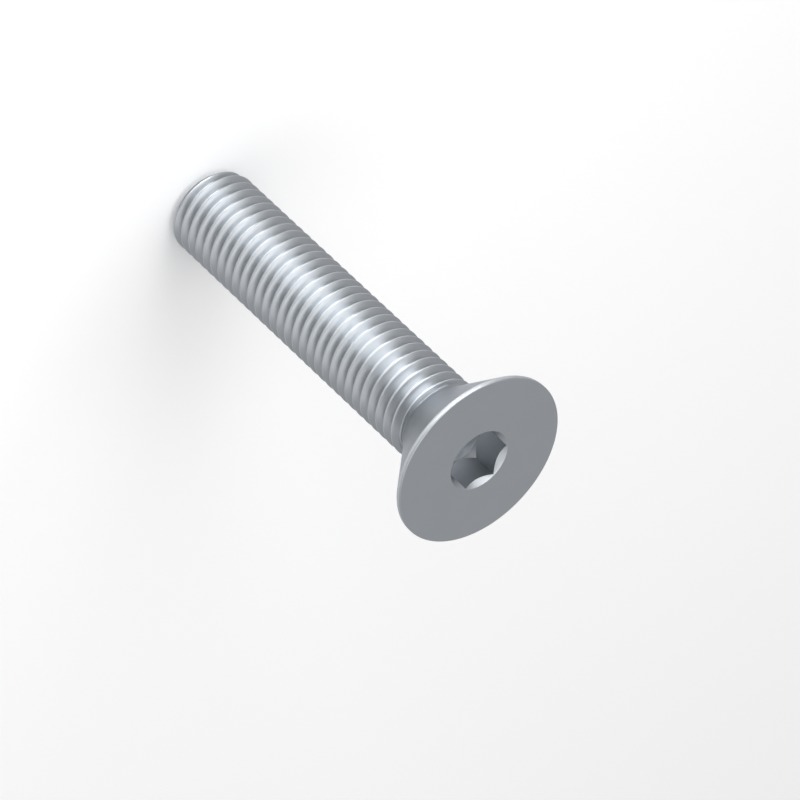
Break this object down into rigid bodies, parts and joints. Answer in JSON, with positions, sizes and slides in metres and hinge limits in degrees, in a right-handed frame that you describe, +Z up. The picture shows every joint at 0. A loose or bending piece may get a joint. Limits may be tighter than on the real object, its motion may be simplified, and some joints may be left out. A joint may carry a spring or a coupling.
{
  "type": "countersunk bolt",
  "caption": "Countersunk bolt with a flat head, a hexagon socket and a fine right-hand thread along the whole shank, for clamping parts flush with their surface.",
  "frame": {"origin": "centre of the flat end of the tip, on which the bolt stands", "axes": "+Z runs up the bolt's axis from the tip to the head and out of the head's flat face; two corners of the hexagon socket lie on the X axis"},
  "size_m": [0.0156, 0.0156, 0.0381],
  "materials": {
    "zinc_plated_steel": "bright zinc plating with a clear bluish passivation, satin to the eye"
  },
  "bodies": {
    "root": {"bolt": "zinc_plated_steel"}
  },
  "joints": []
}
